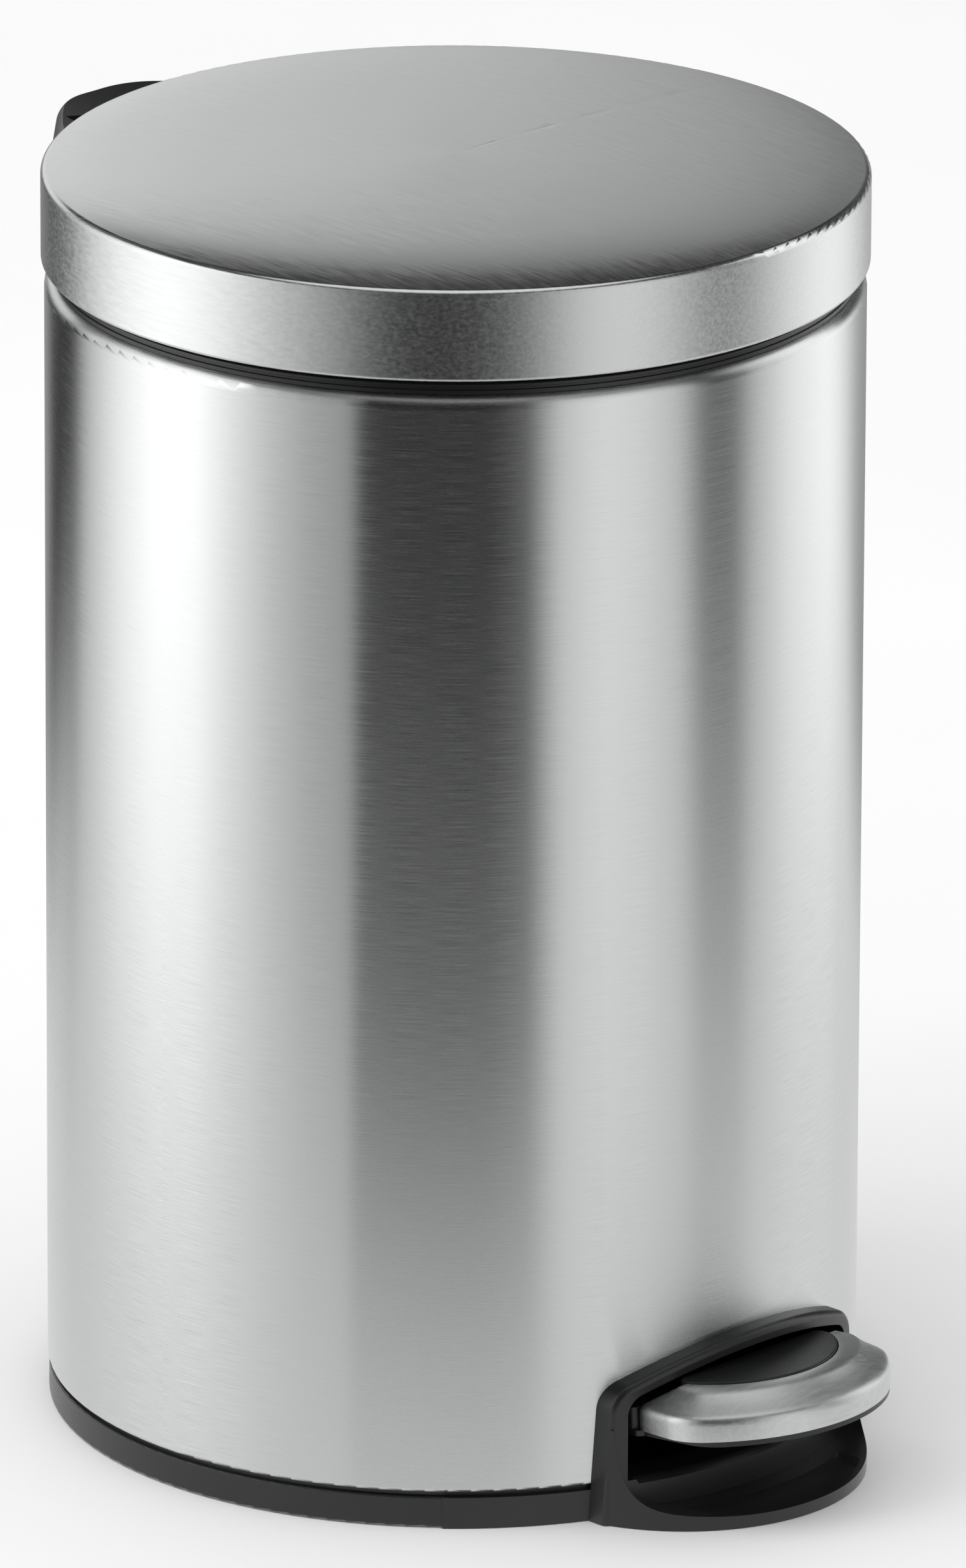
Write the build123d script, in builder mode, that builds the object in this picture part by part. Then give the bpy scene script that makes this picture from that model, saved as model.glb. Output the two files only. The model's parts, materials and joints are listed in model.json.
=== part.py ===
from build123d import *
import os
from math import cos, radians, sin, sqrt

# Pedal trash can. Millimetres, +Z up, origin on the floor at the can's axis.
# The pedal points to -Y and the lid's hinge is at +Y.

# ---------------------------------------------------------------- driving dimensions
BODY_R = 145.0            # outside of the steel body
SHEET = 0.8               # steel sheet
SHELL_BOTTOM = 13.3
SHELL_TOP = 418.5
SHOULDER_R = 5.0          # the shell's rounded top edge
CURL_R = 1.5              # the shell's curled bottom edge

BASE_R = 144.5            # black base ring
BASE_H = 11.5
GROOVE_R = 142.6          # shadow groove and spigot inside the shell
SPIGOT_TOP = 40.0
WALL = 2.5                # plastic wall
PLATE_R = 133.0           # bottom plate
PLATE_T = 2.5
SHELF_R = 125.0           # inner edge of the shelf that carries the plate
PLATE_SCREW_R = 129.0

LID_R = 146.2
LID_SKIRT_Z = 424.2
LID_EDGE_Z = 457.3        # where the dome meets the rounded edge
LID_EDGE_R = 2.5
LID_CROWN_Z = 462.0
HEM_R = 1.5
LINER_Z = 431.0           # underside of the liner's web

RIM_TOP = 422.6
RIM_OUT_R = 141.8
RIM_LEDGE_Z = 417.0

FRAME_R = 152.5           # front face of the pedal frame
FRAME_HALF = 60.0
FRAME_FOOT_HALF = 63.0    # the posts lean outwards to this at the floor
FRAME_CROWN = 61.0
OPENING_HALF = 55.0
OPENING_CROWN = 56.0
SILL_Z = 16.0
ARCH_R = 150.0
SCOOP_R = 66.0            # plan radius of the scoop
SCOOP_Y = -115.0
SCOOP_FLOOR = 4.0
SCOOP_LIP = 2.2           # thickness of the scoop's rim

PEDAL_TILT = 4.4          # pedal points up by this at rest
PEDAL_ROOT_Y = -142.0
PEDAL_ROOT_Z = 34.0       # lower rim of the steel cover at the root
PEDAL_LEN = 52.5
PEDAL_HALF = 50.0
PEDAL_SHOULDER_HALF = 47.5
PEDAL_TIP_R = 60.5
PEDAL_SKIRT = 8.0
PEDAL_CROWN = 15.5
CORE_DROP = 2.0           # how far the black core shows below the cover

AXLE_Y = -62.0
AXLE_Z = 30.0
PIN_R = 2.5               # axle, hinge pin and crank pin
RUN = 0.05                # running clearance of a pin in its bore
PEDAL_TRAVEL = 10.5       # degrees
LID_TRAVEL = 80.0         # degrees

ROD_Y = 135.5
ROD_R = 2.5
TAIL_Z = 10.0             # middle of the lever's tail below the rod
TAIL_R = 3.0
TIP_HALF = 8.0            # half width of the curled tip
STRAP = 3.0
STRAP_HALF = 15.0
LUG_X = 24.0              # inner face of each bearing lug
LUG_T = 5.0

HINGE_Y = 160.0
HINGE_Z = 427.5
HOUSING_BACK = 185.0      # plan of the hinge housing: flat back, slanted flanks
HOUSING_BACK_HALF = 16.0
HOUSING_HALF = 79.0
HOUSING_FLANK_Y = 126.0   # where a flank meets the line of the lid
HOUSING_TOP = 447.0
HOUSING_BOTTOM = 398.0
ARM_X = 25.0              # middle of each hinge arm
ARM_W = 7.0
EYE_R = 6.0
LID_GAP = 2.0             # between the lid's skirt and the housing
SCREW_TURN = 20.0         # housing screws, degrees either side of the back
SCREW_Z = 405.0

BUCKET_R = 120.5
BUCKET_FOOT_R = 110.0
BUCKET_Z = 52.0
BUCKET_WALL = 1.8
FLANGE_R = 126.0
FLANGE_T = 2.0
BAIL_R = 119.0
BAIL_Z = 423.6
WIRE_R = 2.0
GRIP_R = 4.0

# ---------------------------------------------------------------- derived dimensions
SHELL_IN = BODY_R - SHEET
TAIL_ARM = ROD_Y - AXLE_Y
TAIL_DROP = AXLE_Z - TAIL_Z
ROD_TRAVEL = (TAIL_ARM * sin(radians(PEDAL_TRAVEL))
              + TAIL_DROP * (1 - cos(radians(PEDAL_TRAVEL))))
CRANK_R = ROD_TRAVEL / 2 / sin(radians(LID_TRAVEL / 2))
CRANK_Y = HINGE_Y - CRANK_R * cos(radians(LID_TRAVEL / 2))
CRANK_Z = HINGE_Z - ROD_TRAVEL / 2
CRANK_FRONT_Y = HINGE_Y - CRANK_R

PEDAL_PLANE = Plane(origin=(0, PEDAL_ROOT_Y, PEDAL_ROOT_Z), x_dir=(1, 0, 0),
                    z_dir=(0, sin(radians(PEDAL_TILT)), cos(radians(PEDAL_TILT))))


# ---------------------------------------------------------------- shared shapes
def arch(half_width, crown, sill, corner_r, foot_half=None):
    """Upright outline in the XZ plane: flat sill, straight sides, gently curved head."""
    foot = foot_half or half_width
    shoulder = crown - ARCH_R + sqrt(ARCH_R ** 2 - half_width ** 2)
    with BuildSketch(Plane.XZ, mode=Mode.PRIVATE) as face:
        with BuildLine():
            ThreePointArc((-half_width, shoulder), (0, crown), (half_width, shoulder))
            Polyline((half_width, shoulder), (foot, sill), (-foot, sill),
                     (-half_width, shoulder))
        make_face()
        heads = [v for v in face.vertices() if abs(v.Y - shoulder) < 0.01]
        fillet(heads, corner_r)
    return face.sketch


def lathe(points, rounds=()):
    """Ring about the can's axis from (radius, height) points, some corners rounded."""
    with BuildSketch(Plane.XZ, mode=Mode.PRIVATE) as profile:
        with BuildLine():
            Polyline(*points, close=True)
        make_face()
        for radius, height, corner_r in rounds:
            fillet(profile.vertices().sort_by_distance(Vector(radius, height, 0))[0], corner_r)
    return revolve(profile.sketch, axis=Axis.Z, mode=Mode.PRIVATE)


def disc(radius, low, high, x=0.0, y=0.0):
    """Upright round solid between two heights."""
    return Pos(x, y, (low + high) / 2) * Cylinder(radius, high - low, mode=Mode.PRIVATE)


def block(low, high):
    """Box between two corners."""
    size = [b - a for a, b in zip(low, high)]
    middle = [(a + b) / 2 for a, b in zip(low, high)]
    return Pos(*middle) * Box(*size, mode=Mode.PRIVATE)


def bar_x(radius, x0, x1, y, z):
    """Round solid along X."""
    turn = Pos((x0 + x1) / 2, y, z) * Rot(0, 90, 0)
    return turn * Cylinder(radius, abs(x1 - x0), mode=Mode.PRIVATE)


def radial_bar(radius, start_r, end_r, turn, z):
    """Round solid that points away from the can's axis, turn degrees from the back."""
    place = Rot(0, 0, -turn) * Pos(0, (start_r + end_r) / 2, z) * Rot(90, 0, 0)
    return place * Cylinder(radius, end_r - start_r, mode=Mode.PRIVATE)


def pedal_bar(radius, x, y, low, high):
    """Round solid square to the pedal's plane."""
    place = PEDAL_PLANE * Pos(x, y, (low + high) / 2)
    return place * Cylinder(radius, high - low, mode=Mode.PRIVATE)


def housing_plan(inset, height):
    """Plan of the hinge housing: flat back, slanted flanks, open towards the can."""
    slope = (HOUSING_BACK - HOUSING_FLANK_Y) / (HOUSING_HALF - HOUSING_BACK_HALF)
    back = HOUSING_BACK - inset
    back_half = HOUSING_BACK_HALF - inset * (sqrt(1 + slope ** 2) - 1) / slope
    foot_half = back_half + (back - 100) / slope
    with BuildSketch(Plane.XY.offset(height)) as plan:
        Polygon((-foot_half, 100), (-back_half, back), (back_half, back), (foot_half, 100),
                align=None)
        fillet(plan.vertices().sort_by(Axis.Y)[-2:], 30)
    return plan.sketch


def pedal_outline(inset, height):
    """Plan of the pedal on its tilted plane: straight root, tapered sides, round tip."""
    half = PEDAL_HALF - inset
    shoulder_x = PEDAL_SHOULDER_HALF - inset
    tip_r = PEDAL_TIP_R - inset
    centre_y = PEDAL_TIP_R - PEDAL_LEN
    shoulder_y = centre_y - sqrt(tip_r ** 2 - shoulder_x ** 2)
    with BuildSketch(PEDAL_PLANE.offset(height), mode=Mode.PRIVATE) as face:
        with BuildLine():
            ThreePointArc((-shoulder_x, shoulder_y), (0, centre_y - tip_r),
                          (shoulder_x, shoulder_y))
            Polyline((shoulder_x, shoulder_y), (half, -inset), (-half, -inset),
                     (-shoulder_x, shoulder_y))
        make_face()
        fillet([v for v in face.vertices() if abs(v.Y - shoulder_y) < 0.01], 20 - inset)
        fillet(face.vertices().sort_by(Axis.Y)[-2:], 3)
    return face.sketch


def pad_outline(inset, height):
    """D-shaped inlay on the pedal's top."""
    half = 36.0 - inset
    root_y = -6.0 - inset
    side_y = -13.0
    with BuildSketch(PEDAL_PLANE.offset(height), mode=Mode.PRIVATE) as face:
        with BuildLine():
            ThreePointArc((-half, side_y), (0, -36.0 + inset), (half, side_y))
            Polyline((half, side_y), (half, root_y), (-half, root_y), (-half, side_y))
        make_face()
        fillet(face.vertices().sort_by(Axis.Y)[-2:], 3)
        fillet([v for v in face.vertices() if abs(v.Y - side_y) < 0.01], 4)
    return face.sketch


def pedal_form(inset, foot, drop):
    """Skirt, rolled shoulder and raised top of the pedal, inset and lowered."""
    shoulder = PEDAL_SKIRT - drop
    bevel = PEDAL_CROWN - 2.5 - drop
    crown = PEDAL_CROWN - drop
    skirt = extrude(pedal_outline(inset, foot), amount=shoulder - foot, mode=Mode.PRIVATE)
    slope = loft([pedal_outline(inset, shoulder).face(), pedal_outline(inset + 8, bevel).face()],
                 mode=Mode.PRIVATE)
    top = loft([pedal_outline(inset + 8, bevel).face(), pedal_outline(inset + 11, crown).face()],
               mode=Mode.PRIVATE)
    return skirt + slope + top


def finish(node, name):
    """Label one piece and write it to its own file."""
    node.part.label = name
    export_step(node.part, f"parts/{name}.step")


os.makedirs("parts", exist_ok=True)

# ---------------------------------------------------------------- steel body
with BuildPart() as outer_shell:
    edge_in = BODY_R - SHOULDER_R
    curl_in = BODY_R - CURL_R - 0.3
    add(lathe([(edge_in, SHELL_TOP), (BODY_R, SHELL_TOP), (BODY_R, SHELL_BOTTOM),
               (curl_in, SHELL_BOTTOM), (curl_in, SHELL_BOTTOM + SHEET),
               (SHELL_IN, SHELL_BOTTOM + SHEET), (SHELL_IN, SHELL_TOP - SHEET),
               (edge_in, SHELL_TOP - SHEET)],
              [(BODY_R, SHELL_TOP, SHOULDER_R - 0.1), (BODY_R, SHELL_BOTTOM, CURL_R),
               (SHELL_IN, SHELL_TOP - SHEET, SHOULDER_R - SHEET - 0.1)]))
    # cut-out behind the pedal frame
    extrude(arch(OPENING_HALF + 1.8, OPENING_CROWN + 1.9, 0, 9), amount=200, mode=Mode.SUBTRACT)
    # notch in the rounded edge for the rod's yoke
    add(block((-6, 136, SHELL_TOP - 7), (6, 143.2, SHELL_TOP + 1)), mode=Mode.SUBTRACT)
    # clearance holes of the hinge housing's screws
    for side in (-1, 1):
        add(radial_bar(2.3, BODY_R - 6, BODY_R + 6, SCREW_TURN * side, SCREW_Z),
            mode=Mode.SUBTRACT)
finish(outer_shell, "outer_shell")

# ---------------------------------------------------------------- rim ring under the lid
with BuildPart() as top_rim:
    deck = RIM_TOP - 2
    add(lathe([(RIM_OUT_R, SHELL_TOP), (RIM_OUT_R, 419.9), (RIM_OUT_R - 0.5, 420.2),
               (RIM_OUT_R - 0.5, 420.8), (RIM_OUT_R, 421.1), (RIM_OUT_R, RIM_TOP - 0.5),
               (RIM_OUT_R - 0.5, RIM_TOP), (127, RIM_TOP), (127, RIM_LEDGE_Z),
               (122, RIM_LEDGE_Z), (122, 409), (124, 409), (124, 415), (129, 415), (129, deck),
               (137.9, deck), (137.9, 410), (139.9, 410), (139.9, SHELL_TOP)]))
    # gap at the hinge for the rod and the lid's crank
    add(block((-13, 125.5, 400), (13, 145, 425)), mode=Mode.SUBTRACT)
finish(top_rim, "top_rim")

# ---------------------------------------------------------------- base with frame and scoop
with BuildPart() as scoop_form:
    add(disc(SCOOP_R, 0, 48, y=SCOOP_Y))
    # low lip in front, sweeping up into the posts of the frame
    with BuildSketch(Plane.XZ):
        with BuildLine():
            Polyline((-61, 42), (-70, 46), (-70, 0), (70, 0), (70, 46), (61, 42))
            Spline((61, 42), (59.6, 20), (54, 8.2), (44, 5.6), (0, 4.6),
                   (-44, 5.6), (-54, 8.2), (-59.6, 20), (-61, 42))
        make_face()
    extrude(amount=200, mode=Mode.INTERSECT)

with BuildPart() as pan_form:
    # dish that rolls down from the sill and out to the lip
    with BuildSketch(Plane.XZ):
        with BuildLine():
            Spline((FRAME_R - 3, SILL_Z), (FRAME_R + 2, SILL_Z - 4.5), (FRAME_R + 7, 5.4),
                   (FRAME_R + 14, SCOOP_FLOOR), tangents=[(1, -0.25), (1, -0.05)])
            Polyline((FRAME_R + 14, SCOOP_FLOOR), (200, SCOOP_FLOOR), (200, 60),
                     (FRAME_R - 3, 60), (FRAME_R - 3, SILL_Z))
        make_face()
    revolve(axis=Axis.Z)
    # its flanks sweep up to the posts
    flank = OPENING_HALF - 0.4
    with BuildSketch(Plane.XZ):
        with BuildLine():
            Spline((-flank, 40), (-flank + 1.2, 22), (-48, 10), (-37, 4.6),
                   (0, SCOOP_FLOOR - 0.1), (37, 4.6), (48, 10), (flank - 1.2, 22), (flank, 40))
            Line((flank, 40), (-flank, 40))
        make_face()
    extrude(amount=200, mode=Mode.INTERSECT)
    add(disc(SCOOP_R - SCOOP_LIP, 0, 60, y=SCOOP_Y), mode=Mode.INTERSECT)

with BuildPart() as frame_form:
    # collar in front of the steel
    extrude(arch(FRAME_HALF, FRAME_CROWN, 0, 11, FRAME_FOOT_HALF), amount=200)
    add(disc(FRAME_R, 0, 80), mode=Mode.INTERSECT)
    front = frame_form.edges().filter_by(
        lambda e: abs(sqrt(e.center().X ** 2 + e.center().Y ** 2) - FRAME_R) < 2
        and e.center().Z > 20)
    fillet(front, 2.6)
    add(scoop_form.part & extrude(arch(FRAME_HALF, FRAME_CROWN, 0, 11, FRAME_FOOT_HALF),
                                  amount=200, mode=Mode.PRIVATE))
    add(disc(BODY_R + 0.05, -1, 81), mode=Mode.SUBTRACT)

with BuildPart() as base:
    # ring, spigot and the shelf that carries the bottom plate
    add(lathe([(BASE_R, 0), (BASE_R - 0.1, BASE_H), (GROOVE_R, BASE_H), (GROOVE_R, SPIGOT_TOP),
               (GROOVE_R - WALL, SPIGOT_TOP), (GROOVE_R - WALL, 5), (SHELF_R, 5),
               (SHELF_R, PLATE_T), (PLATE_R + 0.4, PLATE_T), (PLATE_R + 0.4, 0)],
              [(BASE_R, 0, 1.0), (BASE_R - 0.1, BASE_H, 0.6)]))
    # sleeve through the steel and sill under the opening
    sleeve = extrude(arch(OPENING_HALF + 1.5, OPENING_CROWN + 1.6, 0, 9), amount=200,
                     mode=Mode.PRIVATE)
    add(sleeve & (disc(BODY_R + 1, 0, 80) - disc(GROOVE_R - WALL - 3, -1, 81)))
    add(frame_form.part)
    # the ring's outer band passes behind the scoop
    add(disc(BODY_R + 0.1, 0, BASE_H) - disc(BASE_R - 1.5, -1, 20)
        - block((-200, -100, -1), (200, 200, 50)))
    # the opening itself
    extrude(arch(OPENING_HALF, OPENING_CROWN, SILL_Z, 8), amount=200, mode=Mode.SUBTRACT)
    add(pan_form.part, mode=Mode.SUBTRACT)
    # bosses for the bottom plate's screws
    with PolarLocations(PLATE_SCREW_R, 4, start_angle=45):
        Cylinder(4.5, 13, align=(Align.CENTER, Align.CENTER, Align.MIN))
    with PolarLocations(PLATE_SCREW_R, 4, start_angle=45):
        Cylinder(1.6, 12, align=(Align.CENTER, Align.CENTER, Align.MIN), mode=Mode.SUBTRACT)
    add(disc(PLATE_R + 0.4, -1, PLATE_T), mode=Mode.SUBTRACT)
finish(base, "base")

# ---------------------------------------------------------------- bottom plate
with BuildPart() as bottom_plate:
    Cylinder(PLATE_R, PLATE_T, align=(Align.CENTER, Align.CENTER, Align.MIN))
    # bearing lugs of the pedal axle
    for side in (-1, 1):
        inner = side * LUG_X
        outer = side * (LUG_X + LUG_T)
        x0, x1 = min(inner, outer), max(inner, outer)
        add(block((x0, AXLE_Y - 9, PLATE_T), (x1, AXLE_Y + 9, AXLE_Z)))
        add(bar_x(9, x0, x1, AXLE_Y, AXLE_Z))
        # foot rib beside each lug
        rib = side * (LUG_X + LUG_T + 7)
        r0, r1 = min(outer, rib), max(outer, rib)
        add(block((r0, AXLE_Y - 1.5, PLATE_T), (r1, AXLE_Y + 1.5, 14)))
    add(bar_x(4.5, -60, 60, AXLE_Y, AXLE_Z), mode=Mode.SUBTRACT)
    with PolarLocations(PLATE_SCREW_R, 4, start_angle=45):
        Cylinder(2.0, 10, mode=Mode.SUBTRACT)
    with PolarLocations(PLATE_SCREW_R, 4, start_angle=45):
        Cone(3.8, 2.0, 1.8, align=(Align.CENTER, Align.CENTER, Align.MIN), mode=Mode.SUBTRACT)
finish(bottom_plate, "bottom_plate")

with BuildPart() as bottom_plate_screws:
    with PolarLocations(PLATE_SCREW_R, 4, start_angle=45):
        Cylinder(1.6, 10, align=(Align.CENTER, Align.CENTER, Align.MIN))
    with PolarLocations(PLATE_SCREW_R, 4, start_angle=45):
        Cone(3.6, 1.8, 1.8, align=(Align.CENTER, Align.CENTER, Align.MIN))
    with PolarLocations(PLATE_SCREW_R, 4, start_angle=45):
        Box(3.6, 0.8, 0.8, mode=Mode.SUBTRACT)
        Box(0.8, 3.6, 0.8, mode=Mode.SUBTRACT)
finish(bottom_plate_screws, "bottom_plate_screws")

with BuildPart() as lever_bumper:
    add(disc(7, PLATE_T, TAIL_Z - STRAP / 2 - 0.2, y=ROD_Y - 22))
finish(lever_bumper, "lever_bumper")

# ---------------------------------------------------------------- pedal axle and bushes
with BuildPart() as axle_bushes:
    for side in (-1, 1):
        add(bar_x(4.5, side * LUG_X, side * (LUG_X + LUG_T), AXLE_Y, AXLE_Z))
        add(bar_x(6.5, side * (LUG_X - 1.5), side * LUG_X, AXLE_Y, AXLE_Z))
    add(bar_x(PIN_R + RUN, -60, 60, AXLE_Y, AXLE_Z), mode=Mode.SUBTRACT)
finish(axle_bushes, "axle_bushes")

with BuildPart() as pedal_axle:
    add(bar_x(PIN_R, -34, 34, AXLE_Y, AXLE_Z))
    for side in (-1, 1):
        groove = bar_x(PIN_R + 1, side * 30.2, side * 31.2, AXLE_Y, AXLE_Z)
        add(groove - bar_x(PIN_R - 0.5, side * 30, side * 32, AXLE_Y, AXLE_Z), mode=Mode.SUBTRACT)
finish(pedal_axle, "pedal_axle")

with BuildPart() as axle_clips:
    for side in (-1, 1):
        ring = bar_x(4.8, side * 30.3, side * 31.1, AXLE_Y, AXLE_Z)
        add(ring - bar_x(PIN_R - 0.5, side * 30, side * 32, AXLE_Y, AXLE_Z)
            - block((-40, AXLE_Y - 1.6, AXLE_Z - 8), (40, AXLE_Y + 1.6, AXLE_Z)))
finish(axle_clips, "axle_clips")

# ---------------------------------------------------------------- pedal lever
tongue = PEDAL_PLANE * Pos(0, 22, STRAP / 2 - CORE_DROP) * Box(2 * STRAP_HALF, 110, STRAP)
with BuildPart() as pedal_lever:
    add(tongue)
    knee = PEDAL_PLANE.from_local_coords(Vector(0, 77, -CORE_DROP))
    with BuildSketch(Plane.YZ):
        with BuildLine():
            Polyline((knee.Y - 0.3, knee.Z + STRAP), (knee.Y, knee.Z), (-32, TAIL_Z - STRAP / 2),
                     (ROD_Y, TAIL_Z - STRAP / 2), (ROD_Y, TAIL_Z + STRAP / 2),
                     (-31, TAIL_Z + STRAP / 2), close=True)
        make_face()
    extrude(amount=STRAP_HALF, both=True)
    add(bar_x(TAIL_R, -TIP_HALF, TIP_HALF, ROD_Y, TAIL_Z))
    # ears that hold the axle, and side flanges that stiffen the tail
    for side in (-1, 1):
        x0, x1 = sorted((side * (STRAP_HALF - 2), side * STRAP_HALF))
        add(bar_x(8, x0, x1, AXLE_Y, AXLE_Z))
        add(block((x0, -20, TAIL_Z - 1), (x1, ROD_Y - 20, TAIL_Z + 6)))
    add(bar_x(PIN_R, -60, 60, AXLE_Y, AXLE_Z), mode=Mode.SUBTRACT)
    # holes for the pedal screws
    for side in (-1, 1):
        add(pedal_bar(1.8, 9 * side, -20, -6, 6), mode=Mode.SUBTRACT)
finish(pedal_lever, "pedal_lever")

# ---------------------------------------------------------------- pedal
with BuildPart() as pedal_cover:
    add(pedal_form(0, 0, 0))
    add(pedal_form(SHEET, -1, SHEET), mode=Mode.SUBTRACT)
    extrude(pad_outline(0, 2), amount=20, mode=Mode.SUBTRACT)
    add(tongue, mode=Mode.SUBTRACT)
finish(pedal_cover, "pedal_cover")

with BuildPart() as pedal_core:
    add(pedal_form(SHEET, 0, SHEET))
    extrude(pedal_outline(0.4, -CORE_DROP), amount=CORE_DROP)
    # block behind the cover that enters the frame
    with BuildSketch(PEDAL_PLANE.offset(-CORE_DROP)):
        with Locations((0, 2.6)):
            RectangleRounded(103, 11, 3)
    extrude(amount=CORE_DROP)
    with BuildSketch(PEDAL_PLANE):
        with Locations((0, 4.1)):
            RectangleRounded(103, 8, 3)
    extrude(amount=PEDAL_SKIRT)
    # pocket for the pad
    extrude(pad_outline(0, PEDAL_CROWN - 3), amount=5, mode=Mode.SUBTRACT)
    # slot for the lever's tongue
    add(tongue, mode=Mode.SUBTRACT)
    for side in (-1, 1):
        add(pedal_bar(1.6, 9 * side, -20, -6, 6), mode=Mode.SUBTRACT)
finish(pedal_core, "pedal_core")

with BuildPart() as pedal_pad:
    extrude(pad_outline(0.5, PEDAL_CROWN - 3), amount=3.6)
    fillet(pedal_pad.edges().group_by(Axis.Z)[-1], 0.6)
finish(pedal_pad, "pedal_pad")

with BuildPart() as pedal_screws:
    for side in (-1, 1):
        add(pedal_bar(1.6, 9 * side, -20, -CORE_DROP, 6))
        add(pedal_bar(3.2, 9 * side, -20, -CORE_DROP - 1.6, -CORE_DROP))
finish(pedal_screws, "pedal_screws")

# ---------------------------------------------------------------- push rod
FOOT_Z = TAIL_Z + TAIL_R + 0.3
YOKE_LOW = CRANK_Z - 14
YOKE_HIGH = CRANK_Z + 7

with BuildPart() as push_rod:
    add(disc(ROD_R, FOOT_Z + 4, YOKE_LOW + 8, y=ROD_Y))
finish(push_rod, "push_rod")

with BuildPart() as rod_foot:
    add(disc(4, FOOT_Z, FOOT_Z + 18, y=ROD_Y))
    fillet(rod_foot.edges().group_by(Axis.Z)[-1], 1)
    add(disc(ROD_R, FOOT_Z + 4, FOOT_Z + 30, y=ROD_Y), mode=Mode.SUBTRACT)
finish(rod_foot, "rod_foot")

with BuildPart() as rod_yoke:
    add(block((-4.5, 127.2, YOKE_LOW), (4.5, 142.6, YOKE_HIGH)))
    fillet(rod_yoke.edges().filter_by(Axis.X), 2.5)
    # slot that lets the crank pin move fore and aft
    with BuildSketch(Plane.YZ.offset(-10)):
        with Locations(((CRANK_Y + CRANK_FRONT_Y) / 2, CRANK_Z)):
            SlotCenterToCenter(CRANK_Y - CRANK_FRONT_Y + 0.8, 2 * (PIN_R + 0.75))
    extrude(amount=20, mode=Mode.SUBTRACT)
    add(disc(ROD_R, YOKE_LOW - 5, YOKE_LOW + 8, y=ROD_Y), mode=Mode.SUBTRACT)
finish(rod_yoke, "rod_yoke")

with BuildPart() as rod_guides:
    for height in (85, 330):
        guide = block((-9, 129.5, height), (9, 146, height + 12))
        add(guide & disc(SHELL_IN - 0.05, height - 1, height + 14))
        add(disc(ROD_R + 0.3, height - 1, height + 13, y=ROD_Y), mode=Mode.SUBTRACT)
finish(rod_guides, "rod_guides")

# ---------------------------------------------------------------- hinge housing
slope_z = HINGE_Z + 7
room_r = LID_R + LID_GAP
lid_room = lathe([(0, 0), (room_r, 0), (room_r, slope_z),
                  (room_r + HOUSING_TOP + 1 - slope_z, HOUSING_TOP + 1), (0, HOUSING_TOP + 1)])

with BuildPart() as hinge_housing:
    extrude(housing_plan(0, HOUSING_BOTTOM), amount=HOUSING_TOP - HOUSING_BOTTOM)
    fillet(hinge_housing.edges().group_by(Axis.Z)[-1].filter_by(lambda e: e.center().Y > 101), 8)
    fillet(hinge_housing.edges().group_by(Axis.Z)[0].filter_by(lambda e: e.center().Y > 101), 3)
    add(lid_room, mode=Mode.SUBTRACT)
    # saddle that clears the lid's skirt as it swings back
    for share in (0.5, 0.625, 0.75, 0.875, 1.0):
        swing = (Pos(0, HINGE_Y, HINGE_Z) * Rot(-LID_TRAVEL * share, 0, 0)
                 * Pos(0, -HINGE_Y, -HINGE_Z))
        add(swing * disc(LID_R + 0.8, LID_SKIRT_Z, LID_CROWN_Z), mode=Mode.SUBTRACT)
    # foot that lies against the steel
    foot = disc(LID_R + 4, HOUSING_BOTTOM + 3, SHELL_TOP - SHOULDER_R) - disc(
        BODY_R + 0.02, 0, 500)
    add(foot & block((-66, 100, 0), (66, 200, 500)))
    # finger recess from below
    finger_room = extrude(housing_plan(4.5, HOUSING_BOTTOM - 1), amount=17, mode=Mode.PRIVATE)
    add((finger_room & block((-46, 100, 0), (46, 200, 500))) - disc(LID_R + 6.5, 0, 500),
        mode=Mode.SUBTRACT)
    # slots for the lid's hinge arms
    for side in (-1, 1):
        x0, x1 = sorted((side * (ARM_X - ARM_W / 2 - 1), side * (ARM_X + ARM_W / 2 + 1)))
        add(block((x0, 140, HINGE_Z - EYE_R - 1.5), (x1, HINGE_Y, 460)), mode=Mode.SUBTRACT)
        add(block((x0, HINGE_Y - 1, HINGE_Z), (x1, HINGE_Y + EYE_R + 1, 460)), mode=Mode.SUBTRACT)
        add(bar_x(EYE_R + 1, x0, x1, HINGE_Y, HINGE_Z), mode=Mode.SUBTRACT)
        # counterbores of the pin's plugs
        add(bar_x(3.5, side * 39.5, side * 70, HINGE_Y, HINGE_Z), mode=Mode.SUBTRACT)
    add(bar_x(PIN_R, -39.6, 39.6, HINGE_Y, HINGE_Z), mode=Mode.SUBTRACT)
    # pilot holes of the housing screws
    for side in (-1, 1):
        add(radial_bar(1.9, BODY_R - 6, BODY_R + 12, SCREW_TURN * side, SCREW_Z),
            mode=Mode.SUBTRACT)
finish(hinge_housing, "hinge_housing")

with BuildPart() as hinge_pin:
    add(bar_x(PIN_R, -39, 39, HINGE_Y, HINGE_Z))
    chamfer(hinge_pin.edges().filter_by(GeomType.CIRCLE), 0.4)
finish(hinge_pin, "hinge_pin")

with BuildPart() as hinge_pin_plugs:
    extrude(housing_plan(0, HINGE_Z - 10), amount=20)
    plugs = bar_x(3.45, -60, -39.5, HINGE_Y, HINGE_Z) + bar_x(3.45, 39.5, 60, HINGE_Y, HINGE_Z)
    add(plugs, mode=Mode.INTERSECT)
finish(hinge_pin_plugs, "hinge_pin_plugs")

with BuildPart() as backing_plates:
    strip = disc(SHELL_IN - 0.02, SCREW_Z - 5.5, SCREW_Z + 6.5) - disc(
        SHELL_IN - 1.8, 0, 500)
    for side in (-1, 1):
        add(strip & (Rot(0, 0, -SCREW_TURN * side) * block((-15, 100, 380), (15, 200, 430))))
        add(radial_bar(2.0, BODY_R - 6, BODY_R, SCREW_TURN * side, SCREW_Z), mode=Mode.SUBTRACT)
finish(backing_plates, "backing_plates")

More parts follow.
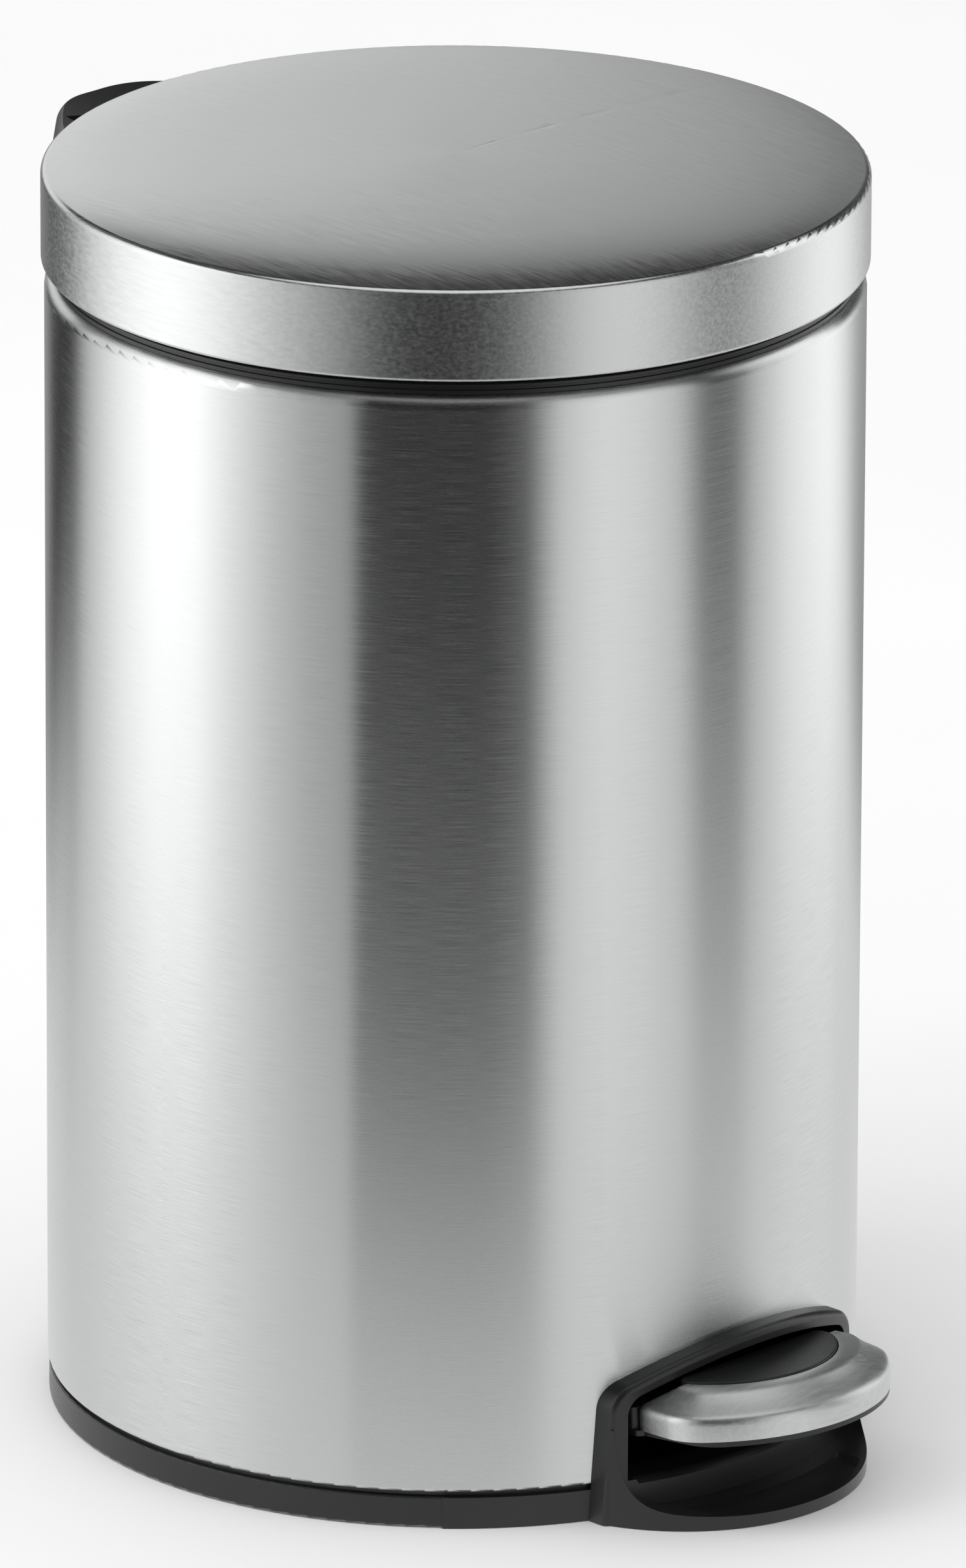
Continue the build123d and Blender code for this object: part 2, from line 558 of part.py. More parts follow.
with BuildPart() as housing_screws:
    for side in (-1, 1):
        add(radial_bar(1.9, SHELL_IN - 2, BODY_R + 11, SCREW_TURN * side, SCREW_Z))
        add(radial_bar(3.8, SHELL_IN - 4.4, SHELL_IN - 2, SCREW_TURN * side, SCREW_Z))
finish(housing_screws, "housing_screws")

# ---------------------------------------------------------------- lid
with BuildPart() as lid_shell:
    for drop, edge_in, mode in ((0, 0, Mode.ADD), (SHEET, SHEET, Mode.SUBTRACT)):
        wall_r = LID_R - edge_in
        foot_z = LID_SKIRT_Z + HEM_R - 2 * drop
        with BuildSketch(Plane.XZ) as dome_profile:
            with BuildLine():
                Polyline((0, LID_CROWN_Z - drop), (0, foot_z), (wall_r, foot_z),
                         (wall_r, LID_EDGE_Z - 0.2 - drop))
                Spline((0, LID_CROWN_Z - drop), (80, LID_EDGE_Z + 3.6 - drop),
                       (120, LID_EDGE_Z + 2.0 - drop), (wall_r, LID_EDGE_Z - 0.2 - drop),
                       tangents=[(1, 0), (1, -0.13)])
            make_face()
            rim = dome_profile.vertices().sort_by_distance(Vector(wall_r, LID_EDGE_Z, 0))[0]
            fillet(rim, LID_EDGE_R - drop)
        revolve(axis=Axis.Z, mode=mode)
    # rolled hem
    with BuildSketch(Plane.XZ):
        with Locations((LID_R - HEM_R, LID_SKIRT_Z + HEM_R)):
            Circle(HEM_R)
    revolve(axis=Axis.Z)
    # notch for the hinge arms
    with BuildSketch(Plane.XZ) as notch:
        with Locations((0, LID_SKIRT_Z)):
            RectangleRounded(63, 18, 3)
    extrude(amount=-200, mode=Mode.SUBTRACT)
finish(lid_shell, "lid_shell")

with BuildPart() as lid_liner:
    liner_r = LID_R - SHEET - 0.1
    add(lathe([(liner_r, 428), (liner_r, 441), (liner_r - 2, 441), (liner_r - 2, LINER_Z + 2),
               (133, LINER_Z + 2), (133, 444), (131, 444), (131, LINER_Z),
               (liner_r - 2, LINER_Z), (liner_r - 2, 428)]))
    add(block((-31.5, 134, 420), (31.5, 150, LINER_Z)), mode=Mode.SUBTRACT)
    add(block((-31.5, liner_r * 0.96, 420), (31.5, 150, 434)), mode=Mode.SUBTRACT)
finish(lid_liner, "lid_liner")

with BuildPart() as lid_bracket:
    # plate under the liner's web
    add(block((-34, 131.2, LINER_Z - 3), (34, 139, LINER_Z)))
    for side in (-1, 1):
        x0, x1 = sorted((side * (ARM_X - ARM_W / 2), side * (ARM_X + ARM_W / 2)))
        add(block((x0, 131.2, HINGE_Z - 3), (x1, HINGE_Y, HINGE_Z + 3.5)))
        add(bar_x(EYE_R, x0, x1, HINGE_Y, HINGE_Z))
        # crank leg beside the rod's yoke
        c0, c1 = sorted((side * 5.2, side * 9.2))
        with BuildSketch(Plane.YZ.offset(c0)):
            with BuildLine():
                Polyline((131.2, LINER_Z - 1), (139, LINER_Z - 1), (139, CRANK_Z + 5),
                         (CRANK_Y, CRANK_Z - 4.5), (CRANK_Y - 4.5, CRANK_Z), close=True)
            make_face()
        extrude(amount=4)
        add(bar_x(5, c0, c1, CRANK_Y, CRANK_Z))
    add(bar_x(PIN_R, -15, 15, CRANK_Y, CRANK_Z), mode=Mode.SUBTRACT)
    add(bar_x(PIN_R + RUN, -60, 60, HINGE_Y, HINGE_Z), mode=Mode.SUBTRACT)
    for side in (-1, 1):
        add(disc(1.6, 420, 440, x=15.5 * side, y=135), mode=Mode.SUBTRACT)
finish(lid_bracket, "lid_bracket")

with BuildPart() as bracket_screws:
    for side in (-1, 1):
        add(disc(1.6, LINER_Z - 3, LINER_Z, x=15.5 * side, y=135))
        add(disc(3.2, LINER_Z - 4.8, LINER_Z - 3, x=15.5 * side, y=135))
finish(bracket_screws, "bracket_screws")

with BuildPart() as crank_pin:
    add(bar_x(PIN_R, -11, 11, CRANK_Y, CRANK_Z))
    chamfer(crank_pin.edges().filter_by(GeomType.CIRCLE), 0.4)
finish(crank_pin, "crank_pin")

with BuildPart() as crank_pin_clips:
    for side in (-1, 1):
        add(bar_x(4.2, side * 9.3, side * 10.1, CRANK_Y, CRANK_Z)
            - bar_x(PIN_R, side * 9, side * 11, CRANK_Y, CRANK_Z))
finish(crank_pin_clips, "crank_pin_clips")

with BuildPart() as lid_bumpers:
    for turn in (20, 160, 270):
        add(Rot(0, 0, turn) * disc(3.5, RIM_TOP + 0.2, LINER_Z, x=137))
finish(lid_bumpers, "lid_bumpers")

# ---------------------------------------------------------------- inner bucket and bail
flange_top = RIM_LEDGE_Z + FLANGE_T
with BuildPart() as inner_bucket:
    add(lathe([(0, BUCKET_Z), (BUCKET_FOOT_R, BUCKET_Z), (BUCKET_R, RIM_LEDGE_Z),
               (FLANGE_R, RIM_LEDGE_Z), (FLANGE_R, flange_top),
               (BUCKET_R - BUCKET_WALL, flange_top),
               (BUCKET_FOOT_R - BUCKET_WALL, BUCKET_Z + 2), (0, BUCKET_Z + 2)],
              [(BUCKET_FOOT_R, BUCKET_Z, 6),
               (BUCKET_FOOT_R - BUCKET_WALL, BUCKET_Z + 2, 4.2)]))
    for side in (-1, 1):
        x0, x1 = sorted((side * 122.3, side * 125.0))
        add(block((x0, -5, flange_top - 1), (x1, 5, BAIL_Z)))
        add(bar_x(5, x0, x1, 0, BAIL_Z))
    add(bar_x(WIRE_R + RUN, -130, 130, 0, BAIL_Z), mode=Mode.SUBTRACT)
finish(inner_bucket, "inner_bucket")

with BuildPart() as bail_wire:
    bend = 3.0
    with BuildLine(Plane.XY.offset(BAIL_Z)):
        Line((125.8, 0), (BAIL_R + bend, 0))
        RadiusArc((BAIL_R + bend, 0), (BAIL_R, -bend), -bend)
        ThreePointArc((BAIL_R, -bend), (0, -BAIL_R), (-BAIL_R, -bend))
        RadiusArc((-BAIL_R, -bend), (-BAIL_R - bend, 0), -bend)
        Line((-BAIL_R - bend, 0), (-125.8, 0))
    with BuildSketch(Plane(origin=(125.8, 0, BAIL_Z), z_dir=(-1, 0, 0))):
        Circle(WIRE_R)
    sweep()
finish(bail_wire, "bail_wire")

with BuildSketch(Plane.XZ) as grip_section:
    with Locations((BAIL_R, BAIL_Z)):
        Circle(GRIP_R)
        Circle(WIRE_R + 0.15, mode=Mode.SUBTRACT)
with BuildPart() as bail_grip:
    sleeve_form = revolve(grip_section.sketch, axis=Axis.Z, revolution_arc=44, mode=Mode.PRIVATE)
    add(Rot(0, 0, -90 - 22) * sleeve_form)
finish(bail_grip, "bail_grip")
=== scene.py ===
import json
from math import asin, atan2, cos, pi, radians, sin, sqrt

import bpy
from mathutils import Matrix, Vector


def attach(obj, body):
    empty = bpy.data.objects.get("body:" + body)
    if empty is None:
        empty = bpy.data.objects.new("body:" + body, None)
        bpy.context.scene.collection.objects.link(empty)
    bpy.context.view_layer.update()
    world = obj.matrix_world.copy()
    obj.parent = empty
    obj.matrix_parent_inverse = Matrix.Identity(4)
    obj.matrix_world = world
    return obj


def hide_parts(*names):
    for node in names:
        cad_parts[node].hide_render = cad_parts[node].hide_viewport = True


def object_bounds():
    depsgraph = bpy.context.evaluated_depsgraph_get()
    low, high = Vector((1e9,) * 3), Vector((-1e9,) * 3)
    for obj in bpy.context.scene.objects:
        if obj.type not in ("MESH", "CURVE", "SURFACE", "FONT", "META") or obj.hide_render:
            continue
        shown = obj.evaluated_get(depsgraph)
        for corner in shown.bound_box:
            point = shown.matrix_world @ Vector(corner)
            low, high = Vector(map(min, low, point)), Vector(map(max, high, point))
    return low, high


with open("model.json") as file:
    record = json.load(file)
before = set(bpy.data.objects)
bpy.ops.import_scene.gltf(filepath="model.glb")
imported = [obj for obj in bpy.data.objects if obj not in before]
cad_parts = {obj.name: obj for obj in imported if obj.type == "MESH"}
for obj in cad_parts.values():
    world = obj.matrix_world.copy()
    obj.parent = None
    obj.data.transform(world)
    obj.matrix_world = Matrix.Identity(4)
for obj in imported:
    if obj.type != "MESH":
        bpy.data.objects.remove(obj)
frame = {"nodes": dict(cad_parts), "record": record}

cad_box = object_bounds()
nodes = frame["nodes"]

# ------------------------------------------------------------------ camera
VIEW_AZIMUTH = -45.2      # degrees; the pedal points to the lower right of the picture
CAMERA_DISTANCE = 6.6116  # metres from the axis of the can, level
CAMERA_HEIGHT = 2.5194
CAMERA_PITCH = -19.121
CAMERA_YAW = -0.090
CAMERA_ROLL = 0.241
LENS = 452.25             # millimetres
SENSOR = 36.0             # millimetres
FAR_CLIP = 60.0


def make_camera():
    """Long lens from far away, looking down on the lid."""
    data = bpy.data.cameras.new("camera")
    data.lens = LENS
    data.sensor_width = SENSOR
    data.clip_end = FAR_CLIP
    camera = bpy.data.objects.new("camera", data)
    bpy.context.scene.collection.objects.link(camera)
    turn = radians(VIEW_AZIMUTH)
    place = Vector((CAMERA_DISTANCE * sin(turn), -CAMERA_DISTANCE * cos(turn), CAMERA_HEIGHT))
    aim = (Matrix.Rotation(turn + radians(CAMERA_YAW), 4, "Z")
           @ Matrix.Rotation(radians(90 + CAMERA_PITCH), 4, "X")
           @ Matrix.Rotation(radians(CAMERA_ROLL), 4, "Z"))
    camera.matrix_world = Matrix.Translation(place) @ aim
    bpy.context.scene.camera = camera


# ------------------------------------------------------------------ node helpers
def new_material(name):
    """Material with its node tree and its shader."""
    material = bpy.data.materials.new(name)
    material.use_nodes = True
    tree = material.node_tree
    shader = tree.nodes["Principled BSDF"]
    return material, tree, shader


def link(tree, source, target):
    tree.links.new(source, target)


def math_node(tree, operation, a, b):
    """Result of one sum; a and b are numbers or sockets."""
    node = tree.nodes.new("ShaderNodeMath")
    node.operation = operation
    for socket, value in zip(node.inputs, (a, b)):
        if isinstance(value, (int, float)):
            socket.default_value = value
        else:
            link(tree, value, socket)
    return node.outputs[0]


def ramp(tree, source, stops):
    """Colour ramp from (place, grey or colour) stops."""
    node = tree.nodes.new("ShaderNodeValToRGB")
    elements = node.color_ramp.elements
    while len(elements) < len(stops):
        elements.new(0.5)
    for element, (place, value) in zip(elements, stops):
        element.position = place
        element.color = (*value, 1.0) if isinstance(value, tuple) else (value,) * 3 + (1.0,)
    link(tree, source, node.inputs[0])
    return node.outputs[0]


def noise(tree, vector, scale, detail=4.0, rough=0.55):
    """Smooth noise from 0 to 1."""
    node = tree.nodes.new("ShaderNodeTexNoise")
    node.inputs["Scale"].default_value = scale
    node.inputs["Detail"].default_value = detail
    node.inputs["Roughness"].default_value = rough
    link(tree, vector, node.inputs["Vector"])
    return node.outputs["Fac"]


def object_point(tree):
    """Place on the object, in metres."""
    return tree.nodes.new("ShaderNodeTexCoord").outputs["Object"]


def stretch(tree, vector, scale):
    """Coordinates scaled along each axis, so that noise becomes streaks."""
    node = tree.nodes.new("ShaderNodeMapping")
    node.inputs["Scale"].default_value = scale
    link(tree, vector, node.inputs["Vector"])
    return node.outputs[0]


def around_axis(tree):
    """Coordinates wrapped round the can: arc length along X and height along Z."""
    split = tree.nodes.new("ShaderNodeSeparateXYZ")
    link(tree, object_point(tree), split.inputs[0])
    turn = math_node(tree, "ARCTAN2", split.outputs[1], split.outputs[0])
    arc = math_node(tree, "MULTIPLY", turn, BODY_RADIUS)
    join = tree.nodes.new("ShaderNodeCombineXYZ")
    link(tree, arc, join.inputs[0])
    link(tree, split.outputs[2], join.inputs[2])
    return join.outputs[0]


def add_bump(tree, shader, height, strength, distance):
    """Relief in the shader's normal."""
    node = tree.nodes.new("ShaderNodeBump")
    node.inputs["Strength"].default_value = strength
    node.inputs["Distance"].default_value = distance
    link(tree, height, node.inputs["Height"])
    link(tree, node.outputs[0], shader.inputs["Normal"])


# ------------------------------------------------------------------ materials
BODY_RADIUS = 0.145
STEEL = (0.63, 0.64, 0.64)
QUARTER_TURN = 0.25       # turns the smear of the reflections upright
LID_ROUGH = 0.14
SKIRT_ROUGHER = 0.20      # added to the lid's roughness on its skirt
SKIRT_FADE = (0.85, 0.25)  # from the top's upward normal to the skirt's level one


def tones(tint, dark, light):
    """A darker and a lighter version of a colour."""
    return [tuple(channel * share for channel in tint) for share in (dark, light)]


def brushed(name, vector_of, grain_scale, rough, aniso, tangent=None, bump=0.08):
    """Hairline-brushed stainless: fine streaks in roughness, tone and bump."""
    material, tree, shader = new_material(name)
    lines = stretch(tree, vector_of(tree), grain_scale)
    fine = noise(tree, lines, 1.0, 3.0, 0.6)
    cloud = noise(tree, vector_of(tree), 9.0, 2.0, 0.5)
    low, high = tones(STEEL, 0.90, 1.06)
    link(tree, ramp(tree, fine, [(0.30, low), (0.70, high)]), shader.inputs["Base Color"])
    streaks = ramp(tree, fine, [(0.25, rough - 0.05), (0.75, rough + 0.06)])
    drift = math_node(tree, "MULTIPLY", cloud, 0.05)
    link(tree, math_node(tree, "ADD", streaks, drift), shader.inputs["Roughness"])
    shader.inputs["Metallic"].default_value = 1.0
    shader.inputs["Anisotropic"].default_value = aniso
    shader.inputs["Anisotropic Rotation"].default_value = QUARTER_TURN
    if tangent is not None:
        node = tree.nodes.new("ShaderNodeTangent")
        node.direction_type = "RADIAL"
        node.axis = tangent
        link(tree, node.outputs[0], shader.inputs["Tangent"])
    add_bump(tree, shader, fine, bump, 0.0002)
    return material


def lid_finish():
    """The lid's top is finely brushed and its skirt more satin."""
    material = brushed("lid_steel", object_point, (900, 60, 900), LID_ROUGH, 0.3, bump=0.03)
    tree = material.node_tree
    rough = tree.nodes["Principled BSDF"].inputs["Roughness"]
    streaks = rough.links[0].from_socket
    split = tree.nodes.new("ShaderNodeSeparateXYZ")
    link(tree, tree.nodes.new("ShaderNodeTexCoord").outputs["Normal"], split.inputs[0])
    side = smooth_step(tree, split.outputs[2], *SKIRT_FADE)
    rougher = math_node(tree, "MULTIPLY", side, SKIRT_ROUGHER)
    link(tree, math_node(tree, "ADD", streaks, rougher), rough)
    return material


def moulded(name, tint, rough, grain, strength):
    """Moulded plastic or rubber: fine spark-eroded grain and slight unevenness."""
    material, tree, shader = new_material(name)
    point = object_point(tree)
    fine = noise(tree, point, grain, 2.0, 0.5)
    cloud = noise(tree, point, 14.0, 3.0, 0.5)
    low, high = tones(tint, 0.85, 1.15)
    link(tree, ramp(tree, cloud, [(0.35, low), (0.65, high)]), shader.inputs["Base Color"])
    link(tree, ramp(tree, fine, [(0.3, rough - 0.05), (0.7, rough + 0.06)]),
         shader.inputs["Roughness"])
    add_bump(tree, shader, fine, strength, 0.0001)
    return material


def plated(name, tint, rough):
    """Zinc-plated or spring steel: cloudy plating with a little grain."""
    material, tree, shader = new_material(name)
    point = object_point(tree)
    cloud = noise(tree, point, 60.0, 4.0, 0.6)
    low, high = tones(tint, 0.86, 1.08)
    link(tree, ramp(tree, cloud, [(0.3, low), (0.7, high)]), shader.inputs["Base Color"])
    link(tree, ramp(tree, cloud, [(0.3, rough), (0.7, rough + 0.1)]), shader.inputs["Roughness"])
    shader.inputs["Metallic"].default_value = 1.0
    add_bump(tree, shader, noise(tree, point, 900.0), 0.04, 0.0001)
    return material


def make_materials():
    """One material for each of the record's slots."""
    return {
        "brushed_steel": brushed("body_steel", around_axis, (60, 60, 4200), 0.22, 1.0, "Z"),
        "lid_steel": lid_finish(),
        "satin_steel": brushed("pedal_steel", object_point, (90, 900, 900), 0.38, 0.0, bump=0.02),
        "black_plastic": moulded("black_plastic", (0.009, 0.0095, 0.010), 0.36, 1800.0, 0.08),
        "pad_rubber": moulded("pad_rubber", (0.008, 0.0085, 0.009), 0.42, 2400.0, 0.08),
        "bumper_rubber": moulded("bumper_rubber", (0.03, 0.03, 0.03), 0.7, 2000.0, 0.2),
        "bush_nylon": moulded("bush_nylon", (0.62, 0.60, 0.54), 0.45, 1500.0, 0.08),
        "bucket_plastic": moulded("bucket_plastic", (0.030, 0.031, 0.033), 0.5, 1300.0, 0.2),
        "zinc_steel": plated("zinc_steel", (0.56, 0.57, 0.60), 0.32),
        "spring_steel": plated("spring_steel", (0.16, 0.16, 0.17), 0.4),
        "screw_steel": plated("screw_steel", (0.60, 0.61, 0.63), 0.25),
    }


def dress_nodes(materials):
    """Gives every CAD node the material of its slot."""
    for row in frame["record"]["subparts"]:
        node = nodes[row["node"]]
        for material_slot in node.material_slots:
            material_slot.material = materials[row["material_slot"]]


# ------------------------------------------------------------------ pedal cover
PEDAL_ROOT = (0.0, -0.142, 0.034)
PEDAL_TILT = 4.4          # degrees; the pedal points up by this at rest
PEDAL_PLACE = Matrix.Translation(PEDAL_ROOT) @ Matrix.Rotation(radians(-PEDAL_TILT), 4, "X")
PEDAL_HALF = 0.050
PEDAL_LENGTH = 0.0525
SIDE_FLARE = 0.0025       # each side widens by this
SIDE_RUN = 0.02947        # over this length
SHOULDER_ARC = 0.020
SHOULDER_STEPS = 30
TIP_ARC = 0.0605
TIP_STEPS = 40
ROOT_SHARE = 0.45         # how much of the inset is taken at the root
ROOT_HEIGHT = 0.0082      # the cover stays under this height at its root,
ROOT_SLOPE = 0.62         # and this slope from there
PAD_HALF = 0.036
PAD_SIDE = -0.013         # where the pad's straight sides meet its round front
PAD_ROOT = -0.006
PAD_FRONT = -0.036
PAD_RIM = 0.0155          # height of the cover's edge round the pad
PAD_STEPS = 40            # on each half of its round front
ROOT_CORNER = 0.003
CORNER_STEPS = 6
FRONT_POINTS = 140
SHEET = 0.0007
CREASE = 38               # degrees; sharper edges stay sharp
# (inset, height) up the skirt, over the rolled edge and up the hollow slope
COVER_PROFILE = [(0.0, 0.0), (0.0, 0.0056), (0.0001, 0.0067), (0.0004, 0.0077), (0.0010, 0.0085),
                 (0.0018, 0.0091), (0.0029, 0.0097), (0.0043, 0.0105), (0.0060, 0.0115),
                 (0.0079, 0.0127), (0.0098, 0.0142), (0.0112, 0.0153)]


def resample(points, count):
    """Points at even steps along an open line."""
    steps = [0.0]
    for a, b in zip(points, points[1:]):
        steps.append(steps[-1] + (Vector(b) - Vector(a)).length)
    picked, i = [], 0
    for k in range(count):
        place = steps[-1] * k / (count - 1)
        while i < len(steps) - 2 and steps[i + 1] < place:
            i += 1
        share = (place - steps[i]) / (steps[i + 1] - steps[i])
        picked.append(Vector(points[i]).lerp(Vector(points[i + 1]), share))
    return picked


def closed_plan(front, half, root):
    """Front line from right to left, closed by a straight root with round corners."""
    plan = resample(front, FRONT_POINTS)
    for side, start in ((-1, 180), (1, 90)):
        centre = Vector((side * (half - ROOT_CORNER), root - ROOT_CORNER))
        for k in range(CORNER_STEPS + 1):
            turn = radians(start - 90 * k / CORNER_STEPS)
            plan.append(centre + ROOT_CORNER * Vector((cos(turn), sin(turn))))
    return plan


def arc(centre, radius, first, last, steps):
    """Points on an arc between two angles in radians, both ends included."""
    turns = [first + (last - first) * k / steps for k in range(steps + 1)]
    return [(centre.x + radius * cos(turn), centre.y + radius * sin(turn)) for turn in turns]


def cover_plan(inset):
    """Outline of the pedal: slightly flared sides, round shoulders, wide round tip."""
    tip = Vector((0.0, TIP_ARC - PEDAL_LENGTH))
    outward = Vector((SIDE_RUN, SIDE_FLARE)).normalized()
    across = Vector((-outward.y, outward.x))
    # middle of the shoulder's arc: inside the side line and inside the tip's circle
    reach = PEDAL_HALF * outward.x - SHOULDER_ARC
    along = sqrt((TIP_ARC - SHOULDER_ARC) ** 2 - (tip.dot(outward) - reach) ** 2)
    middle = outward * reach + across * (tip.dot(across) - along)
    # right half, from the root round to the tip
    root = -ROOT_SHARE * inset
    start_y = root - ROOT_CORNER
    start_x = (PEDAL_HALF * outward.x - inset - start_y * outward.y) / outward.x
    first = atan2(outward.y, outward.x)
    last = atan2(middle.y - tip.y, middle.x - tip.x)
    right = [(start_x, start_y)]
    right += arc(middle, SHOULDER_ARC - inset, first, last, SHOULDER_STEPS)
    right += arc(tip, TIP_ARC - inset, last, -pi / 2, TIP_STEPS)[1:]
    left = [(-x, y) for x, y in reversed(right[:-1])]
    return closed_plan(right + left, start_x, root)


def pad_plan():
    """D-shaped opening for the pad."""
    drop = PAD_SIDE - PAD_FRONT
    radius = (PAD_HALF ** 2 + drop ** 2) / (2 * drop)
    middle = Vector((0.0, PAD_FRONT + radius))
    swing = asin(PAD_HALF / radius)
    front = [(PAD_HALF, PAD_ROOT - ROOT_CORNER)]
    front += arc(middle, radius, swing - pi / 2, -swing - pi / 2, 2 * PAD_STEPS)
    front += [(-PAD_HALF, PAD_ROOT - ROOT_CORNER)]
    return closed_plan(front, PAD_HALF, PAD_ROOT)


def cover_ring(plan, height, drop=0.0):
    """Ring of points at a height, kept low at the root, where the cover passes under the frame."""
    return [(v.x, v.y, max(min(height, ROOT_HEIGHT - ROOT_SLOPE * v.y) - drop, 0.0))
            for v in plan]


def make_pedal_cover(material):
    """Pressed steel cover with a rolled edge and a hollow slope up to the pad."""
    rings = [cover_ring(cover_plan(inset), height) for inset, height in COVER_PROFILE]
    rings += [cover_ring(pad_plan(), PAD_RIM, drop) for drop in (0.0, SHEET)]
    rings += [cover_ring(cover_plan(inset + SHEET), height, SHEET)
              for inset, height in reversed(COVER_PROFILE)]
    count = len(rings[0])
    points = [PEDAL_PLACE @ Vector(point) for ring in rings for point in ring]
    faces = []
    for row in range(len(rings)):
        here, above = row * count, (row + 1) % len(rings) * count
        for k in range(count):
            after = (k + 1) % count
            faces.append((here + k, above + k, above + after, here + after))
    mesh = bpy.data.meshes.new("pedal_cover_pressing")
    mesh.from_pydata(points, [], faces)
    mesh.validate()
    mesh.shade_smooth()
    mesh.set_sharp_from_angle(angle=radians(CREASE))
    mesh.materials.append(material)
    cover = bpy.data.objects.new("pedal_cover_pressing", mesh)
    bpy.context.scene.collection.objects.link(cover)
    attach(cover, "pedal")
    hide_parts("pedal_cover")


# ------------------------------------------------------------------ studio
TURN = radians(VIEW_AZIMUTH)
TO_RIGHT = (cos(TURN), sin(TURN), 0.0)
TO_CAMERA = (sin(TURN), -cos(TURN), 0.0)


def dot(tree, vector, axis):
    """How far a vector points along an axis."""
    node = tree.nodes.new("ShaderNodeVectorMath")
    node.operation = "DOT_PRODUCT"
    link(tree, vector, node.inputs[0])
    node.inputs[1].default_value = axis
    return node.outputs["Value"]


def smooth_step(tree, value, start, end):
    """0 at the start, 1 at the end, with soft ends; the start may be the larger number."""
    node = tree.nodes.new("ShaderNodeMapRange")
    node.interpolation_type = "SMOOTHSTEP"
    node.inputs["From Min"].default_value = start
    node.inputs["From Max"].default_value = end
    link(tree, value, node.inputs["Value"])
    return node.outputs["Result"]


def blend(tree, factor, a, b):
    """a where the factor is 0, b where it is 1."""
    gap = math_node(tree, "SUBTRACT", b, a)
    return math_node(tree, "ADD", a, math_node(tree, "MULTIPLY", gap, factor))


# brightness of the panels round the can; degrees from the camera, positive to its right
PANELS = [(-180, 0.40), (-160, 0.32), (-154, 0.01), (-132, 0.01), (-127, 0.60), (-107, 1.45),
          (-91, 1.90), (-77, 1.85), (-65, 1.32), (-53, 0.82), (-42, 0.56), (-31, 0.44),
          (-28.5, 0.42), (-27.5, 0.004), (10, 0.004), (21, 0.11), (30, 0.85), (42, 1.12), (53, 1.06),
          (65, 0.78), (69, 0.45), (73, 0.10), (85, 0.09), (91, 0.60), (108, 1.25), (128, 1.6),
          (140, 1.2), (151, 0.55), (162, 0.40), (180, 0.40)]
BACK_WALL = [(-180, 0.66), (-176, 0.92), (-160, 0.97), (-140, 0.95), (140, 0.06), (165, 0.10),
             (176, 0.26), (180, 0.66)]
ROOM_WHITE = 1.0
# the world fades from one to the other between these two; toward the camera is 1, up is 1
BEHIND_CAN = (-0.55, -0.75)
ABOVE_FLOOR = (0.0, 0.08)
CEILING_BEHIND = (0.375, 0.435)
CEILING_ELSEWHERE = (0.60, 0.75)
CEILING_SHADE = 0.04
OVERHEAD = (0.84, 0.94)
OVERHEAD_SHADE = 1.0
FLOOR_SIZE = 40.0
FLOOR_GAP = 0.0002        # under the can
CARD_SIZE = 6.0
CARD_GAP = 0.0006
CARD_WHITE = 0.9
# the card fades out between these, in metres from the can
CARD_FRONT = (0.60, 0.36)
CARD_BACK = (-0.85, -0.40)
CARD_RIGHT = (0.90, 0.66)
CARD_LEFT = (-0.95, -0.50)
LIGHT_AIM = Vector((0, 0, 0.2))
KEY_SIDE = -70            # degrees from the camera


def place_ramp(tree, turn, stops):
    """Brightness by direction, from (degrees, value) stops."""
    share = math_node(tree, "ADD", math_node(tree, "DIVIDE", turn, radians(360)), 0.5)
    peak = max(value for _, value in stops)
    shades = ramp(tree, share, [(place / 360 + 0.5, value / peak) for place, value in stops])
    return math_node(tree, "MULTIPLY", shades, peak)


def make_world():
    """Studio of upright panels, a pale wall behind the can and a dark ceiling."""
    world = bpy.data.worlds.new("studio")
    world.use_nodes = True
    tree = world.node_tree
    background = tree.nodes["Background"]
    way = tree.nodes.new("ShaderNodeTexCoord").outputs["Generated"]
    turn = math_node(tree, "ARCTAN2", dot(tree, way, TO_RIGHT), dot(tree, way, TO_CAMERA))
    height = dot(tree, way, (0, 0, 1))
    panels = place_ramp(tree, turn, PANELS)
    wall = place_ramp(tree, turn, BACK_WALL)
    # behind the can the wall is pale up to a dark ceiling
    behind = smooth_step(tree, dot(tree, way, TO_CAMERA), *BEHIND_CAN)
    above = smooth_step(tree, height, *ABOVE_FLOOR)
    shade = blend(tree, math_node(tree, "MULTIPLY", behind, above), panels, wall)
    ceiling_behind = smooth_step(tree, height, *CEILING_BEHIND)
    ceiling_elsewhere = smooth_step(tree, height, *CEILING_ELSEWHERE)
    ceiling = blend(tree, behind, ceiling_elsewhere, ceiling_behind)
    shade = blend(tree, ceiling, shade, CEILING_SHADE)
    overhead = smooth_step(tree, height, *OVERHEAD)
    shade = blend(tree, overhead, shade, OVERHEAD_SHADE)
    # only mirror reflections see the panels; everything else sees an even white room
    path = tree.nodes.new("ShaderNodeLightPath")
    even = math_node(tree, "SUBTRACT", 1.0, path.outputs["Is Glossy Ray"])
    link(tree, blend(tree, even, shade, ROOM_WHITE), background.inputs["Strength"])
    background.inputs["Color"].default_value = (1.0, 1.0, 1.0, 1.0)
    bpy.context.scene.world = world


def flat_plane(name, size, gap):
    """Square stage plane a little under the can."""
    bpy.ops.mesh.primitive_plane_add(size=size, location=(0.0, 0.0, cad_box[0].z - gap))
    plane = bpy.context.object
    plane.name = name
    return plane


